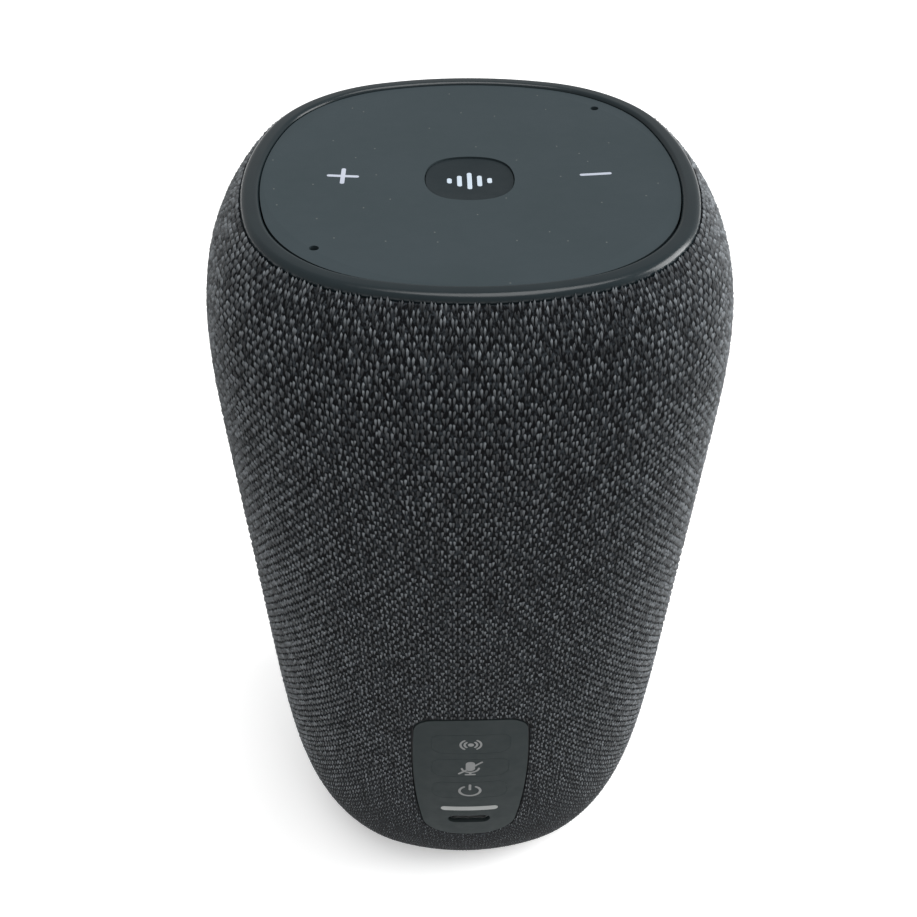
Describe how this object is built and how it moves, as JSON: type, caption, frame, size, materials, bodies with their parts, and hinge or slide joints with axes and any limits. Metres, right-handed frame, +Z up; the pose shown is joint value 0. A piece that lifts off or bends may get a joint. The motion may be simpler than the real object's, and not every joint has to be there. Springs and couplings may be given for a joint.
{
  "type": "smart home hub",
  "caption": "Portable voice-controlled home hub: rounded-square knitted speaker body, dished touch top with talk key, rear key strip and USB-C inlet.",
  "frame": {"origin": "centre of the foot's underside, on the surface the hub stands on", "axes": "+Z up; -Y is the side with the rear control strip and USB-C inlet, +Y the side the driver faces; -X is the volume-up side"},
  "size_m": [0.088, 0.088, 0.17],
  "materials": {
    "knit": "knitted charcoal yarn",
    "shell": "matte",
    "base": "fine texture",
    "gold": "polished",
    "steel": "zinc plated",
    "foot_rubber": "matte",
    "ring_rubber": "satin",
    "top_skin": "soft-touch matte",
    "marks": "printed",
    "key_skin": "soft-touch matte",
    "rear_skin": "soft-touch matte, pale printed glyphs",
    "film": "clear film with printed electrodes",
    "foam": "open-cell foam",
    "can_metal": "tinned",
    "soft_rubber": "matte",
    "frame": "moulded",
    "board": "solder mask",
    "switch": "moulded",
    "diffuser": "milky",
    "diffuser_dark": "smoked translucent",
    "led": "clear",
    "steel_frame": "black coat",
    "zinc": "zinc plated",
    "magnet": "nickel plated",
    "kapton": "amber film",
    "copper": "enamelled wire",
    "spider_cloth": "resin-dipped cloth",
    "paper": "pressed fibre",
    "radiator_metal": "anodised",
    "cell_wrap": "heat-shrink wrap"
  },
  "bodies": {
    "housing": {"base_foot": "foot_rubber", "base_plate": "base", "base_screws": "steel", "battery_cells": "cell_wrap", "battery_tray": "frame", "box_gasket": "soft_rubber", "charge_light_bar": "diffuser_dark", "dock_contacts": "gold", "driver_basket": "steel_frame", "driver_gasket": "foam", "driver_magnet": "magnet", "driver_pole_plate": "zinc", "driver_screws": "steel", "driver_spider": "spider_cloth", "driver_surround": "soft_rubber", "driver_yoke": "zinc", "fabric_sleeve": "knit", "grille_shell_front": "shell", "grille_shell_rear": "shell", "key_board": "board", "key_switches": "switch", "light_guide": "diffuser", "main_board": "board", "mic_boots": "soft_rubber", "microphones": "can_metal", "panel_foam": "foam", "radiator_frame": "frame", "radiator_screws": "steel", "radiator_surround": "soft_rubber", "rear_keypad": "rear_skin", "rear_panel_carrier": "frame", "shield_cans": "can_metal", "speaker_box_front": "frame", "speaker_box_rear": "frame", "status_leds": "led", "top_board": "board", "top_board_screws": "steel", "top_deck": "frame", "top_deck_screws": "steel", "top_flex_cable": "kapton", "top_panel": "top_skin", "top_ring": "ring_rubber", "touch_film": "film", "usb_board": "board", "usb_port_shell": "can_metal", "usb_port_tongue": "frame", "usb_seal": "soft_rubber", "voice_switch": "switch", "volume_marks": "marks", "wifi_antennas": "kapton"},
    "voice_key_body": {"voice_key": "key_skin"},
    "pairing_key_body": {"pairing_key": "rear_skin"},
    "mic_mute_key_body": {"mic_mute_key": "rear_skin"},
    "power_key_body": {"power_key": "rear_skin"},
    "driver_cone_body": {"driver_cone": "paper", "driver_dust_cap": "paper", "coil_former": "kapton", "voice_coil": "copper"},
    "radiator_body": {"radiator_plate": "radiator_metal"}
  },
  "joints": [
    {"name": "voice_key_press", "type": "slide", "parent": "housing", "child": "voice_key_body", "axis": [0, 0, -1], "range_m": [0, 0.0005], "stiffness_N_per_m": 1500},
    {"name": "pairing_key_press", "type": "slide", "parent": "housing", "child": "pairing_key_body", "axis": [0, 1, 0], "range_m": [0, 0.0004], "stiffness_N_per_m": 1500},
    {"name": "mic_mute_key_press", "type": "slide", "parent": "housing", "child": "mic_mute_key_body", "axis": [0, 1, 0], "range_m": [0, 0.0004], "stiffness_N_per_m": 1500},
    {"name": "power_key_press", "type": "slide", "parent": "housing", "child": "power_key_body", "axis": [0, 1, 0], "range_m": [0, 0.0004], "stiffness_N_per_m": 1500},
    {"name": "driver_cone_stroke", "type": "slide", "parent": "housing", "child": "driver_cone_body", "axis": [0, 1, 0], "range_m": [-0.0025, 0.0025], "stiffness_N_per_m": 1200, "deforming": ["driver_surround", "driver_spider"]},
    {"name": "radiator_stroke", "type": "slide", "parent": "housing", "child": "radiator_body", "axis": [0, 1, 0], "range_m": [-0.003, 0.003], "stiffness_N_per_m": 900, "deforming": ["radiator_surround"]}
  ]
}
